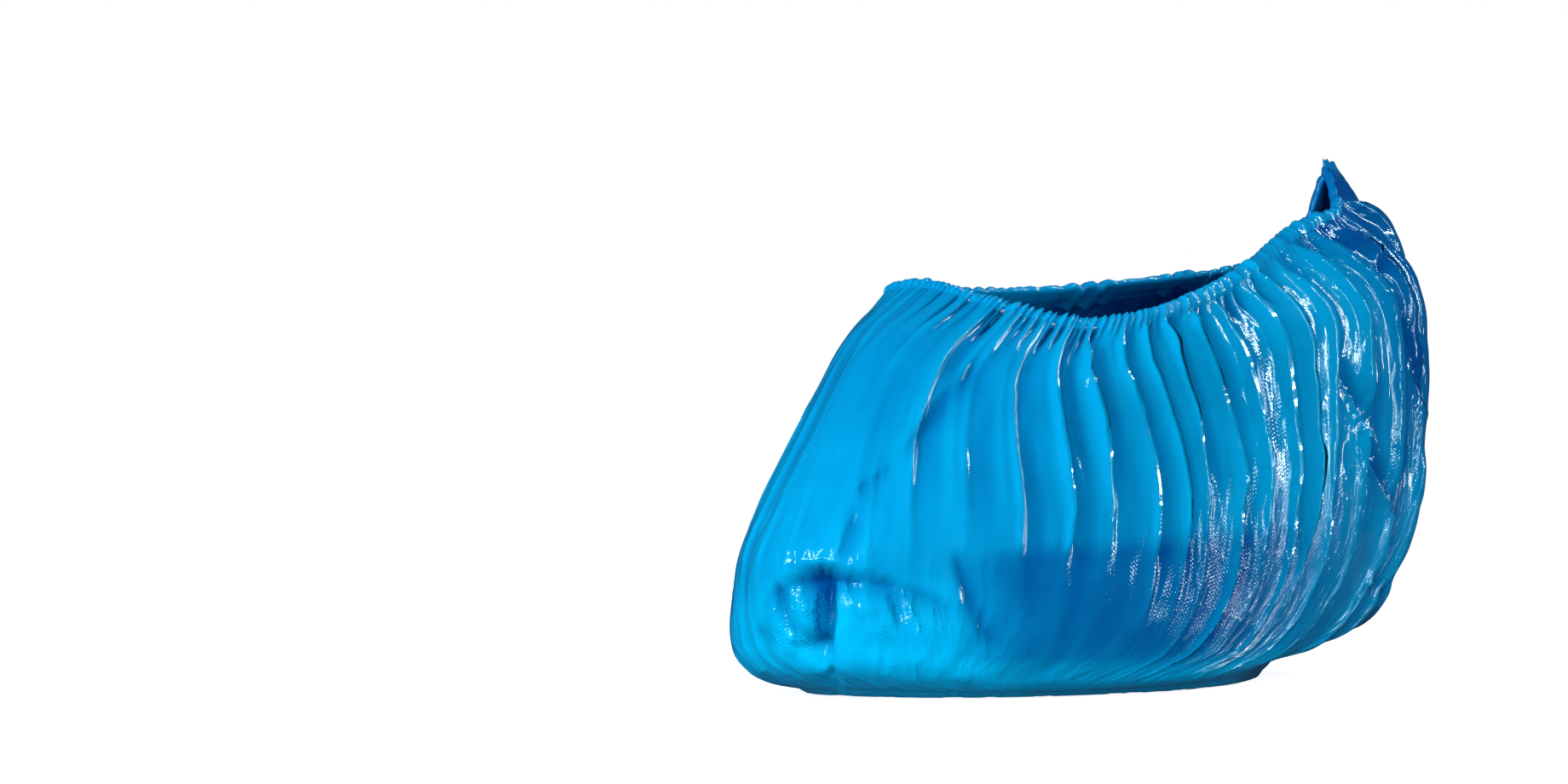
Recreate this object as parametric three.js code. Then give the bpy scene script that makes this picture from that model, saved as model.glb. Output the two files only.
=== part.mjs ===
// A disposable overshoe of thin blue film, in the shape it takes when it is stretched over a low
// left shoe and stands on the floor. The film is one folded bag, gathered at the ankle by an
// elastic in a turned-over hem, and its two ends are closed by heat-sealed welds.
// Millimetres, +Z up. The toe points along -Y, and the outer side of the foot lies along +X.
import * as THREE from "three";

// Driving dimensions.
const WALL = 1.2; // film wall
const GAP = 0.3; // running gap between pieces that touch
const TOE_TO_ORIGIN = 155; // run from the toe tip to the middle of the overshoe
const TOE_LEAN = 7; // how far the toe tip lies towards the inner side
const BALL_RUN = 95; // where the ball half width holds
const HEEL_RUN = 235; // where the heel half width holds
const FOLD_LINE = { front: 66, back: 190 }; // the bag's bottom fold, down the middle of the sole
const COLUMNS = 168; // columns of the film round the foot
const COLUMNS_PER_FOLD = 4;
const CROWDING = { sides: 0.1, toe: 0.6 }; // how far columns crowd towards the sides and toe
const DRIFT = { most: THREE.MathUtils.degToRad(18), reach: THREE.MathUtils.degToRad(100), level: 3.8 };
const UNDERTURN = THREE.MathUtils.degToRad(14);

// Along the outer side the folds stand wider apart at the ball and closer at the waist: how
// many columns each one is shifted towards the heel.
const FOLD_SHIFT = {
  places: [0, 12, 16, 20, 24, 28, 32, 36, 40, 44, 48, 56, 168],
  columns: [0, 0, 1.2, 2.5, 3, 3, 3.3, 2.3, 1, 0.5, 0.6, 0, 0],
};

// Rings of the film, from the edge of the tread up to the gathered edge. front and back are
// runs behind the toe tip, ball and heel are half widths, nose and tail are the roundness of
// the ends (2 is an ellipse), and the heights go from the toe over the sides to the heel.
// twist lifts the inner side at the ball, roll lifts the whole outer side, and dip lowers the
// inner side beside the heel.
const RING_COLUMNS = ["front", "back", "ball", "heel", "nose", "tail",
  "zToe", "zBall", "zWaist", "zQuarter", "zHeel", "twist", "roll", "dip"];
const RING_TABLE = {
  tread: [31, 218, 44, 25, 2.5, 2.0, 0, 0, 0, 0, 0, 0, 0, 0],
  lift: [14, 236, 50, 31, 2.5, 2.0, 5, 3, 3, 8, 13, 0, 0, 0],
  welt: [4, 275, 54, 42, 2.5, 2.1, 13, 10, 10, 14, 19, 0, 0, 0],
  sole_edge: [0, 298, 55.5, 50, 2.25, 2.0, 27, 30, 34, 38, 43, 0, 0, 0],
  bumper: [5, 306, 54, 51, 2.1, 1.9, 44, 49, 56, 64, 72, 0, 0, 0],
  vamp: [18, 306, 51, 49, 1.9, 1.9, 66, 70, 78, 89, 100, 1, 0, 2],
  instep: [35, 299, 50, 46, 1.9, 1.8, 88, 85, 95, 111, 127, 4, 1, 6],
  hem: [62, 273, 49, 24, 2.1, 2.0, 103, 98, 109, 126, 133, 7, 3, 9],
};
const DIP = { angle: THREE.MathUtils.degToRad(214), reach: 0.9 };
const RINGS = Object.values(RING_TABLE).map((row) =>
  Object.fromEntries(RING_COLUMNS.map((column, i) => [column, row[i]])));
const ROWS_ABOVE_RING = [1, 1, 1, 2, 1, 2, 2]; // film rows between each ring and the next
const HEM_LEVEL = RINGS.length - 1;
const SOLE_LEVEL = 3;

// The ungathered corner of the bag, over the heel: it falls off faster to the inner side.
const PEAK = { high: 12, angle: THREE.MathUtils.degToRad(182), outer: 0.5, inner: 0.3 };

// How far each fold stands out, in turn round the foot.
const FOLD_OUT = [2.2, 1.3, 1.9, 2.6, 1.1, 2.0, 1.5, 2.4, 1.2, 1.8, 2.5];
const FOLD_SECTION = [1, 0.1, -0.9, 0]; // one fold, over its columns

// How strong the folds are at each ring, from the tread up to the gathered edge.
const FOLD_STRENGTH = [0, 0.25, 0.6, 0.7, 0.95, 1.15, 1, 0.3];

// Where the folds are pulled flat, by the cosine of the angle from the toe: over the toe, and
// from the side of the ball on under the sole edge.
const QUIET = { toeFrom: 0.5, toeTo: 0.9, underFrom: 0.42, underTo: 0.56, share: 0.85 };

// The tucked corner at the toe: a groove with the end weld in it, under a low overhanging lip.
const TUCK_COLUMN = 3;
const GROOVE = { depth: 5, reach: 0.16, level: 2.1, rise: 1.3 };
const RECESS = { depth: 2, reach: 0.75, level: 2.4, rise: 1 };
const LIP = { out: 2, reach: 0.75, level: 3.5, rise: 0.6 };

// The hem: the film's edge turned over an elastic, and ruffled.
const CASING = { wall: 0.9, gap: 0.5, leg: 5.5, scallop: 0.5, ruffle: 0.6 };
const ELASTIC = { thick: 0.7, high: 3 };
const EDGE_ROOM = 0.4; // clear height under and over the elastic
const HEEL_TURN = 10; // columns to each side of the heel where the elastic turns sharply
const CASING_RISE = ELASTIC.high + 2 * EDGE_ROOM;

// The end welds: flat fins of fused film. The heel one ends in a pointed ear above the hem.
const WELD = { thick: 1, toeDeep: 2.4, heelDeep: 3.6 };
const EAR = 1.5; // how far the heel weld's corner stands over the hem

const smooth = (from, to, x) => {
  const t = Math.min(1, Math.max(0, (x - from) / (to - from)));
  return t * t * (3 - 2 * t);
};
const mix = (a, b, t) => a + (b - a) * t;
const bump = (distance, reach) => 1 - smooth(0, 1, Math.abs(distance) / reach);
const halfTurn = (angle) => Math.atan2(Math.sin(angle), Math.cos(angle)); // the same, within half a turn

// A smooth height from five values: at 0, 45, 90, 135 and 180 degrees from the toe.
function heightAt(values, angle) {
  const a = Math.abs(halfTurn(angle)) / (Math.PI / 4);
  const k = Math.min(3, Math.floor(a));
  const t = a - k;
  const at = (i) => values[i < 0 ? -i : i > 4 ? 8 - i : i];
  const [p0, p1, p2, p3] = [at(k - 1), at(k), at(k + 1), at(k + 2)];
  const square = (2 * p0 - 5 * p1 + 4 * p2 - p3) * t * t;
  const cube = (3 * p1 - 3 * p2 + p3 - p0) * t * t * t;
  return 0.5 * (2 * p1 + (p2 - p0) * t + square + cube);
}

// A point of one ring. Angle 0 is the toe, a quarter turn the outer side, half a turn the heel.
function ringPoint(ring, angle) {
  const c = Math.cos(angle);
  const s = Math.sin(angle);
  const run = mix(ring.front, ring.back, (1 - c) / 2);
  const end = c > 0 ? ring.nose : ring.tail;
  const round = Math.pow(Math.max(0, 1 - Math.pow(Math.abs(c), end)), 1 / end);
  const half = mix(ring.ball, ring.heel, smooth(BALL_RUN, HEEL_RUN, run));
  const lean = -TOE_LEAN * Math.pow(Math.max(0, 1 - run / 130), 2);
  const heights = [ring.zToe, ring.zBall, ring.zWaist, ring.zQuarter, ring.zHeel];
  const twist = ring.twist * Math.sin(2 * angle) * (1 + c) / 2;
  const dip = ring.dip * bump(halfTurn(angle - DIP.angle), DIP.reach);
  const fromPeak = halfTurn(angle - PEAK.angle);
  const fall = bump(fromPeak, fromPeak > 0 ? PEAK.inner : PEAK.outer);
  const peak = ring === RINGS[HEM_LEVEL] ? PEAK.high * fall : 0;
  const z = heightAt(heights, angle) - twist + ring.roll * s - dip + peak;
  return new THREE.Vector3(half * round * Math.sign(s) + lean, run - TOE_TO_ORIGIN, z);
}

function foldLinePoint(angle) {
  const run = mix(FOLD_LINE.front, FOLD_LINE.back, (1 - Math.cos(angle)) / 2);
  return new THREE.Vector3(0, run - TOE_TO_ORIGIN, 0);
}

function meanDirection(before, here, after) {
  const a = here.clone().sub(before);
  const b = after.clone().sub(here);
  return a.divideScalar(a.length()).add(b.divideScalar(b.length())).multiplyScalar(0.5);
}

// The smooth form, without folds. Whole levels are rings, and the parts between are curved.
function formPoint(angle, level) {
  const at = (k) => (k < 0 ? foldLinePoint(angle) : ringPoint(RINGS[k], angle));
  const k = Math.min(HEM_LEVEL - 1, Math.floor(level));
  const t = level - k;
  const [p0, p1, p2] = [at(k - 1), at(k), at(k + 1)];
  const p3 = k + 2 <= HEM_LEVEL ? at(k + 2) : p2.clone().multiplyScalar(2).sub(p1);
  const chord = p2.distanceTo(p1);
  const p = p1.multiplyScalar(2 * t ** 3 - 3 * t ** 2 + 1)
    .addScaledVector(meanDirection(p0, at(k), p2), chord * (t ** 3 - 2 * t ** 2 + t))
    .addScaledVector(meanDirection(at(k), p2, p3), chord * (t ** 3 - t ** 2));
  p.addScaledVector(p2, 3 * t ** 2 - 2 * t ** 3);
  p.z = Math.max(0, p.z);
  return p;
}

function formFrame(angle, level) {
  const [low, high] = [Math.max(0.05, level - 0.02), Math.min(HEM_LEVEL, level + 0.02)];
  const round = formPoint(angle + 0.01, level).sub(formPoint(angle - 0.01, level));
  const up = formPoint(angle, high).sub(formPoint(angle, low)).normalize();
  return { out: round.cross(up).normalize(), up };
}

function foldShift(column) {
  const { places, columns } = FOLD_SHIFT;
  const k = Math.max(1, places.findIndex((place) => place >= column));
  return mix(columns[k - 1], columns[k], (column - places[k - 1]) / (places[k] - places[k - 1]));
}

// The angle of a column at a level. Folds hang straight from the hem, so on the ball of the
// foot they drift back on their way down, and below the sole edge they turn forward again.
function columnAngle(column, level, shift = foldShift(column)) {
  const even = ((column + shift) * 2 * Math.PI) / COLUMNS;
  const atHem = even + CROWDING.sides * Math.sin(2 * even) - CROWDING.toe * Math.sin(even);
  const fromToe = halfTurn(atHem);
  const share = Math.min(1, Math.abs(fromToe) / DRIFT.reach);
  const above = Math.max(0, (level - DRIFT.level) / (HEM_LEVEL - DRIFT.level));
  const drift = DRIFT.most * Math.sin(Math.PI * share) * (1 - above ** 1.5);
  const underturn = UNDERTURN * Math.abs(Math.sin(atHem)) * smooth(SOLE_LEVEL, 1, level);
  return atHem + Math.sign(fromToe) * (drift - underturn);
}

// How far the film stands off the smooth form: its folds, and the tuck at the toe.
function standOff(column, level) {
  const angle = columnAngle(column, level);
  const k = Math.min(HEM_LEVEL - 1, Math.floor(level));
  const strength = mix(FOLD_STRENGTH[k], FOLD_STRENGTH[k + 1], level - k);
  const under = smooth(SOLE_LEVEL + 0.5, SOLE_LEVEL - 0.2, level);
  const from = mix(QUIET.toeFrom, QUIET.underFrom, under);
  const to = mix(QUIET.toeTo, QUIET.underTo, under);
  const calm = 1 - QUIET.share * smooth(from, to, Math.cos(angle));
  const fold = FOLD_OUT[Math.floor(column / COLUMNS_PER_FOLD) % FOLD_OUT.length];
  const section = FOLD_SECTION[column % COLUMNS_PER_FOLD];
  const fromTuck = halfTurn(angle - columnAngle(TUCK_COLUMN, level));
  const at = (shape) => bump(fromTuck, shape.reach) * bump(level - shape.level, shape.rise);
  const tuck = LIP.out * at(LIP) - GROOVE.depth * at(GROOVE) - RECESS.depth * at(RECESS);
  return fold * section * strength * calm + tuck;
}

const LEVELS = ROWS_ABOVE_RING.flatMap((rows, ring) =>
  Array.from({ length: rows }, (_, i) => ring + i / rows)).concat(HEM_LEVEL);

const columnNumbers = Array.from({ length: COLUMNS }, (_, i) => i);

// A closed skin through sections: each section is a ring of points, and sections close a loop
// or, with ends, meet their own first and last point.
class Skin {
  constructor() {
    this.points = [];
    this.index = [];
    this.known = new Map();
  }

  put(p) {
    const key = [p.x, p.y, p.z].map((v) => v.toFixed(3)).join();
    if (!this.known.has(key)) {
      this.known.set(key, this.points.length / 3);
      this.points.push(p.x, p.y, p.z);
    }
    return this.known.get(key);
  }

  triangle(a, b, c) {
    const [i, j, k] = [a, b, c].map((p) => this.put(p));
    if (i !== j && j !== k && k !== i) this.index.push(i, j, k);
  }

  quad(a, b, c, d) {
    this.triangle(a, b, c);
    this.triangle(a, c, d);
  }

  // Sections run round the loop. Each is a closed outline, or an open one whose two ends lie on
  // the fold line, where the sections of the other side meet them. Facets that follow others
  // closely are cut along the other diagonal, because their outline runs the other way.
  loop(sections, { open = false, crossed = false } = {}) {
    sections.forEach((here, i) => {
      const next = sections[(i + 1) % sections.length];
      for (let k = 0; k < here.length - (open ? 1 : 0); k++) {
        const m = (k + 1) % here.length;
        if (crossed) this.quad(next[k], next[m], here[m], here[k]);
        else this.quad(here[k], next[k], next[m], here[m]);
      }
    });
    return this;
  }

  // Sections of one strip, closed by flat ends.
  strip(sections) {
    for (let i = 0; i + 1 < sections.length; i++) {
      const [here, next] = [sections[i], sections[i + 1]];
      here.forEach((_, k) => {
        const m = (k + 1) % here.length;
        this.quad(here[k], next[k], next[m], here[m]);
      });
    }
    const [first, last] = [sections[0], sections[sections.length - 1]];
    this.quad(first[0], first[1], first[2], first[3]);
    this.quad(last[3], last[2], last[1], last[0]);
    return this;
  }

  geometry() {
    const g = new THREE.BufferGeometry();
    g.setAttribute("position", new THREE.Float32BufferAttribute(this.points, 3));
    g.setIndex(this.index);
    g.computeVertexNormals();
    return g;
  }
}

function filmPoint(column, level, inward) {
  const angle = columnAngle(column, level);
  const p = formPoint(angle, level);
  if (level === 0) return p.setZ(inward);
  return p.addScaledVector(formFrame(angle, level).out, standOff(column, level) - inward);
}

// The bag: an outer and an inner skin from the bottom fold up to the gathered edge.
function filmBody() {
  const sections = columnNumbers.map((column) => {
    const fold = foldLinePoint(columnAngle(column, 0, 0));
    const outer = LEVELS.map((level) => filmPoint(column, level, 0));
    const inner = LEVELS.map((level) => filmPoint(column, level, WALL)).reverse();
    return [fold, ...outer, ...inner, fold.clone().setZ(WALL)];
  });
  return new Skin().loop(sections, { open: true }).geometry();
}

// The frame of the gathered edge at a column: the two top rows of the film, the way up along
// them and the way out of them.
const EDGE_ROWS = [LEVELS[LEVELS.length - 2], HEM_LEVEL];
function edgeFrame(column) {
  const [low, edge] = EDGE_ROWS.map((level) => filmPoint(column, level, 0));
  const up = edge.clone().sub(low).normalize();
  const { out } = formFrame(columnAngle(column, HEM_LEVEL), HEM_LEVEL);
  const lowOut = formFrame(columnAngle(column, EDGE_ROWS[0]), EDGE_ROWS[0]).out;
  const length = edge.distanceTo(low);
  return (outward, upward) => {
    const way = upward < 0 ? out.clone().lerp(lowOut, -upward / length) : out;
    return edge.clone().addScaledVector(up, upward).addScaledVector(way, outward);
  };
}

// The casing is a narrow channel over the film's edge, its outside ruffled column by column.
function hemCasing() {
  const sections = columnNumbers.map((column) => {
    const at = edgeFrame(column);
    const side = column % 2 ? -1 : 1;
    const face = CASING.gap + CASING.wall + CASING.ruffle * (1 + side) / 2;
    const back = -WALL - CASING.gap;
    const top = CASING_RISE + CASING.wall + CASING.scallop * (1 + side) / 2;
    return [
      at(face, -CASING.leg),
      at(face - CASING.wall / 2, top),
      at(back - CASING.wall / 2, top),
      at(back - CASING.wall, -CASING.leg),
      at(back, -CASING.leg),
      at(back, CASING_RISE),
      at(CASING.gap, CASING_RISE),
      at(CASING.gap, -CASING.leg),
    ];
  });
  return new Skin().loop(sections, { crossed: true }).geometry();
}

// The elastic is a flat band that runs free inside the casing, above the film's edge.
function elasticBand() {
  const middle = -WALL / 2;
  const atHeel = (column) => Math.abs(column - COLUMNS / 2) < HEEL_TURN;
  const sections = columnNumbers.filter((column) => column % 2 === 0 || atHeel(column)).map((column) => {
    const at = edgeFrame(column);
    return [
      at(middle + ELASTIC.thick / 2, EDGE_ROOM),
      at(middle + ELASTIC.thick / 2, EDGE_ROOM + ELASTIC.high),
      at(middle - ELASTIC.thick / 2, EDGE_ROOM + ELASTIC.high),
      at(middle - ELASTIC.thick / 2, EDGE_ROOM),
    ];
  });
  return new Skin().loop(sections).geometry();
}

// A point on the film's faceted outside, between its rows.
function filmRowPoint(column, level, inward) {
  const k = Math.max(0, LEVELS.findIndex((row) => row >= level) - 1);
  const share = (level - LEVELS[k]) / (LEVELS[k + 1] - LEVELS[k]);
  return filmPoint(column, LEVELS[k], inward).lerp(filmPoint(column, LEVELS[k + 1], inward), share);
}

// One cut across a weld: a thin oblong that stands out from the film.
function weldSection(foot, out, across, deep) {
  const half = across.clone().multiplyScalar(WELD.thick / 2);
  const tip = foot.clone().addScaledVector(out, deep);
  return [foot.clone().sub(half), foot.clone().add(half), tip.clone().add(half), tip.clone().sub(half)];
}

function toeWeld() {
  const sections = [1.5, 2, 2.5, 3].map((level) => {
    const { out, up } = formFrame(columnAngle(TUCK_COLUMN, level), level);
    const across = up.clone().cross(out).normalize();
    return weldSection(filmRowPoint(TUCK_COLUMN, level, -GAP), out, across, WELD.toeDeep);
  });
  return new Skin().strip(sections).geometry();
}

// The heel weld runs up the ridge at the back, steps out over the casing and ends in the ear.
function heelWeld() {
  const column = COLUMNS / 2;
  const across = new THREE.Vector3(-1, 0, 0);
  const clearance = CASING.gap + CASING.wall + CASING.ruffle + GAP;
  const below = [1.5, 2, 3, 3.5, 4, 5, 5.5, 6, 6.5].map((level) => {
    const { out } = formFrame(Math.PI, level);
    const stand = mix(GAP, clearance, smooth(6, 6.5, level));
    return weldSection(filmRowPoint(column, level, -stand), out, across, WELD.heelDeep);
  });
  const at = edgeFrame(column);
  const out = new THREE.Vector3(0, 1, 0);
  const beside = weldSection(at(clearance, 0), out, across, WELD.heelDeep);
  const top = at(clearance, CASING_RISE);
  const step = weldSection(top, out, across, WELD.heelDeep);
  const tip = weldSection(top.clone().setZ(top.z + EAR), out, across, WELD.heelDeep / 3);
  return new Skin().strip([...below, beside, step, tip]).geometry();
}

// One colour of film throughout, darker where it is doubled in the casing and the welds.
const MATERIALS = {
  film: { color: 0x0294d8, roughness: 0.32, metalness: 0 },
  hem_film: { color: 0x026bb5, roughness: 0.4, metalness: 0 },
  weld_film: { color: 0x0a72b4, roughness: 0.28, metalness: 0 },
  elastic: { color: 0xd9e4ea, roughness: 0.8, metalness: 0 },
};

const PIECES = [
  ["film_body", filmBody, "film"],
  ["hem_casing", hemCasing, "hem_film"],
  ["elastic_band", elasticBand, "elastic"],
  ["toe_weld", toeWeld, "weld_film"],
  ["heel_weld", heelWeld, "weld_film"],
];

const cover = new THREE.Group();
for (const [name, shape, finish] of PIECES) {
  const material = new THREE.MeshStandardMaterial({ name: finish, ...MATERIALS[finish] });
  const piece = new THREE.Mesh(shape(), material);
  piece.name = name;
  cover.add(piece);
}

// The origin is the middle of the footprint, on the floor.
const box = new THREE.Box3().setFromObject(cover);
const middle = box.getCenter(new THREE.Vector3());
cover.position.set(-middle.x, -middle.y, -box.min.z);

export default cover;
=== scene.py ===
from math import cos, pi, radians, sin
import bpy
import numpy as np
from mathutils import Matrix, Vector


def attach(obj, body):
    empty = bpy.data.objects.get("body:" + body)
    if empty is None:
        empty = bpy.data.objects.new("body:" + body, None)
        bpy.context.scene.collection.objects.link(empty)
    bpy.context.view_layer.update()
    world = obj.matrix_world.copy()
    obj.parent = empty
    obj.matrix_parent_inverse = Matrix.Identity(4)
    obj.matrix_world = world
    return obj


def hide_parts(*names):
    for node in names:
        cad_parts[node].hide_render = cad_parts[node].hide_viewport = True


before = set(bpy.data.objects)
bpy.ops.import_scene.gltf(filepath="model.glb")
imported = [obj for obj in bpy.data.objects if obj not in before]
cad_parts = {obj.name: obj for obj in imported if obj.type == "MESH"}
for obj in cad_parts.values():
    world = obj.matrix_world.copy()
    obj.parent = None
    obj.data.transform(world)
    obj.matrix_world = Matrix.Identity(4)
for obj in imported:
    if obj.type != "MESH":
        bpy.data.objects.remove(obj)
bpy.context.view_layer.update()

# ---------------------------------------------------------------------------------------------
# Camera. It stands low at the toe's outer side, a long lens over one metre away, and looks
# slightly up, past the middle of the overshoe.
camera_data = bpy.data.cameras.new("camera")
camera_data.lens = 105.2
camera_data.sensor_width = 36.0
camera_data.clip_start = 0.05
camera = bpy.data.objects.new("camera", camera_data)
bpy.context.scene.collection.objects.link(camera)
camera.location = (0.625, -1.088, 0.052)
camera.rotation_euler = (radians(91.215), 0.0, radians(34.17))
bpy.context.scene.camera = camera

# ---------------------------------------------------------------------------------------------
# Film body. The bag is one blown film of embossed blue polyethylene, 0.03 mm thick, folded once
# under the sole and pulled over the shoe. Its excess width hangs in sharp folds from the hem.
# It is made here as two walls, an outer and an inner one, which meet along the bag's fold line.
# Lengths here are in mm, and runs go back from the toe's tip.
MM = 0.001
FILM_THICK = 0.12
TOE_TO_ORIGIN = 155.0
TOE_LEAN, LEAN_RUN = 7.0, 130.0
BALL_RUN, HEEL_RUN = 95.0, 235.0
FOLD_LINE = {"front": 66.0, "back": 190.0}
COLUMNS, COLUMNS_PER_FOLD = 168, 4
HEM_LEVEL, SOLE_LEVEL = 7, 3

# front and back are runs behind the toe tip, ball and heel are half widths, nose and tail are
# the roundness of the ends, then come heights from the toe over the sides to the heel.
# twist lifts the inner side at the ball, roll lifts the whole outer side, and dip lowers the
# inner side beside the heel.
RING_COLUMNS = ["front", "back", "ball", "heel", "nose", "tail",
                "z_toe", "z_ball", "z_waist", "z_quarter", "z_heel", "twist", "roll", "dip"]
RING_TABLE = {
    "tread": [31, 218, 44, 25, 2.5, 2.0, 0, 0, 0, 0, 0, 0, 0, 0],
    "lift": [14, 236, 50, 31, 2.5, 2.0, 5, 3, 3, 8, 13, 0, 0, 0],
    "welt": [4, 275, 54, 42, 2.5, 2.1, 13, 10, 10, 14, 19, 0, 0, 0],
    "sole_edge": [0, 298, 55.5, 50, 2.25, 2.0, 27, 30, 34, 38, 43, 0, 0, 0],
    "bumper": [5, 306, 54, 51, 2.1, 1.9, 44, 49, 56, 64, 72, 0, 0, 0],
    "vamp": [18, 306, 51, 49, 1.9, 1.9, 66, 70, 78, 89, 100, 1, 0, 2],
    "instep": [35, 299, 50, 46, 1.9, 1.8, 88, 85, 95, 111, 127, 4, 1, 6],
    "hem": [62, 273, 49, 24, 2.1, 2.0, 103, 98, 109, 126, 133, 7, 3, 9],
}
RINGS = [dict(zip(RING_COLUMNS, map(float, row))) for row in RING_TABLE.values()]

# The hem dips beside the heel, rises to a peak behind it, and the bag's corner stands up there.
# The folds crowd together along the sides, drift back on their way down, and turn forward again
# under the sole edge. MIDDLE is the middle of the finished outline, which is moved to the origin.
DIP = {"angle": radians(214), "reach": 0.9}
PEAK = {"high": 12.0, "angle": radians(182), "outer": 0.5, "inner": 0.3}
CORNER = {"high": 6.0, "angle": radians(180), "reach": 0.45, "level": 6.6, "rise": 0.7}
CROWDING = {"sides": 0.1, "toe": 0.6}
DRIFT = {"most": radians(18), "reach": radians(100), "level": 3.8}
UNDERTURN = radians(14)
MIDDLE = np.array([0.032, 1.148, 0.0])


def smooth(low, high, x):
    """From 0 at low to 1 at high, with soft ends."""
    t = np.clip((x - low) / (high - low), 0, 1)
    return t * t * (3 - 2 * t)


def bump(distance, reach):
    """1 in the middle, down to 0 at the reach."""
    return 1 - smooth(0, 1, np.abs(distance) / reach)


def half_turn(angle):
    """The same angle between minus and plus half a turn."""
    return np.arctan2(np.sin(angle), np.cos(angle))


def unit(vectors):
    """The same directions with length 1."""
    length = np.linalg.norm(vectors, axis=-1, keepdims=True)
    return vectors / np.maximum(length, 1e-9)


def height_at(values, angle):
    """A smooth height from five values, at 0, 45, 90, 135 and 180 degrees from the toe."""
    a = np.abs(half_turn(angle)) / (pi / 4)
    k = np.clip(np.floor(a).astype(int), 0, 3)
    t = a - k
    v = np.array([values[1], *values, values[3]])
    p0, p1, p2, p3 = v[k], v[k + 1], v[k + 2], v[k + 3]
    square = (2 * p0 - 5 * p1 + 4 * p2 - p3) * t * t
    cube = (3 * p1 - 3 * p2 + p3 - p0) * t ** 3
    return 0.5 * (2 * p1 + (p2 - p0) * t + square + cube)


def ring_point(ring, angle):
    """A point of one ring. Angle 0 is the toe, a quarter turn the outer side, pi the heel."""
    c, s = np.cos(angle), np.sin(angle)
    run = ring["front"] + (ring["back"] - ring["front"]) * (1 - c) / 2
    end = np.where(c > 0, ring["nose"], ring["tail"])
    roundness = np.maximum(0, 1 - np.abs(c) ** end) ** (1 / end)
    half = ring["ball"] + (ring["heel"] - ring["ball"]) * smooth(BALL_RUN, HEEL_RUN, run)
    lean = -TOE_LEAN * np.maximum(0, 1 - run / LEAN_RUN) ** 2
    heights = [ring[name] for name in ("z_toe", "z_ball", "z_waist", "z_quarter", "z_heel")]
    z = height_at(heights, angle) - ring["twist"] * np.sin(2 * angle) * (1 + c) / 2
    z = z + ring["roll"] * s - ring["dip"] * bump(half_turn(angle - DIP["angle"]), DIP["reach"])
    if ring is RINGS[HEM_LEVEL]:
        from_peak = half_turn(angle - PEAK["angle"])
        reach = np.where(from_peak > 0, PEAK["inner"], PEAK["outer"])
        z = z + PEAK["high"] * bump(from_peak, reach)
    return np.stack([half * roundness * np.sign(s) + lean, run - TOE_TO_ORIGIN, z], -1)


def fold_line_point(angle):
    """A point of the bag's fold line, which lies flat under the middle of the sole."""
    front, back = FOLD_LINE["front"], FOLD_LINE["back"]
    run = front + (back - front) * (1 - np.cos(angle)) / 2
    return np.stack([0 * run, run - TOE_TO_ORIGIN, 0 * run], -1)


def form_point(angle, level):
    """The smooth form without folds. Whole levels are rings, and level -1 is the fold line."""
    rings = [fold_line_point(angle)] + [ring_point(ring, angle) for ring in RINGS]
    rings.append(2 * rings[-1] - rings[-2])
    rings = np.stack(rings)
    k = np.clip(np.floor(level).astype(int), -1, HEM_LEVEL - 1)
    t = (level - k)[..., None]
    here = np.indices(level.shape)
    p0, p1, p2, p3 = [rings[(np.clip(k + i, 0, len(rings) - 1), *here)] for i in range(4)]
    chord = np.linalg.norm(p2 - p1, axis=-1, keepdims=True)
    leave = 0.5 * (unit(p1 - p0) + unit(p2 - p1)) * chord
    arrive = 0.5 * (unit(p2 - p1) + unit(p3 - p2)) * chord
    curved = p1 * (2 * t ** 3 - 3 * t ** 2 + 1) + p2 * (3 * t ** 2 - 2 * t ** 3)
    curved = curved + leave * (t ** 3 - 2 * t ** 2 + t) + arrive * (t ** 3 - t ** 2)
    points = np.where(level[..., None] < 0, p1 * (1 - t) + p2 * t, curved)
    corner = bump(half_turn(angle - CORNER["angle"]), CORNER["reach"])
    points[..., 2] += CORNER["high"] * corner * bump(level - CORNER["level"], CORNER["rise"])
    points[..., 2] = np.maximum(0, points[..., 2])
    return points


def column_angle(column, level):
    """Folds hang straight from the hem, so they drift back on the ball of the foot on their way
    down, and below the sole edge they turn forward again."""
    even = column * 2 * pi / COLUMNS
    at_hem = even + CROWDING["sides"] * np.sin(2 * even) - CROWDING["toe"] * np.sin(even)
    from_toe = half_turn(at_hem)
    share = np.minimum(1, np.abs(from_toe) / DRIFT["reach"])
    fall = 1 - np.clip((level - DRIFT["level"]) / (HEM_LEVEL - DRIFT["level"]), 0, 1) ** 1.5
    drift = DRIFT["most"] * np.sin(pi * share) * fall
    underturn = UNDERTURN * np.abs(np.sin(at_hem)) * smooth(SOLE_LEVEL, 1, level)
    return at_hem + np.sign(from_toe) * (drift - underturn)


def lattice(i, j, k, seed):
    """A fixed number from -1 to 1 for each corner of the noise's cells."""
    mixed = i * 374761393 + j * 668265263 + k * 2147483647 + seed * 974634777
    mixed = (mixed ^ (mixed >> 13)) * 1274126177
    return ((mixed ^ (mixed >> 16)) & 0xFFFF) / 32767.5 - 1


def noise(x, y, z=0.0, seed=1):
    """Smooth noise from -1 to 1, one cell per unit."""
    x, y, z = np.broadcast_arrays(x, y, z)
    cell = [np.floor(v).astype(np.int64) for v in (x, y, z)]
    f = [v - c for v, c in zip((x, y, z), cell)]
    w = [t * t * t * (t * (t * 6 - 15) + 10) for t in f]
    total = 0
    for corner in range(8):
        di, dj, dk = corner & 1, (corner >> 1) & 1, corner >> 2
        weight = (w[0] if di else 1 - w[0]) * (w[1] if dj else 1 - w[1])
        weight = weight * (w[2] if dk else 1 - w[2])
        total = total + weight * lattice(cell[0] + di, cell[1] + dj, cell[2] + dk, seed)
    return total


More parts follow.
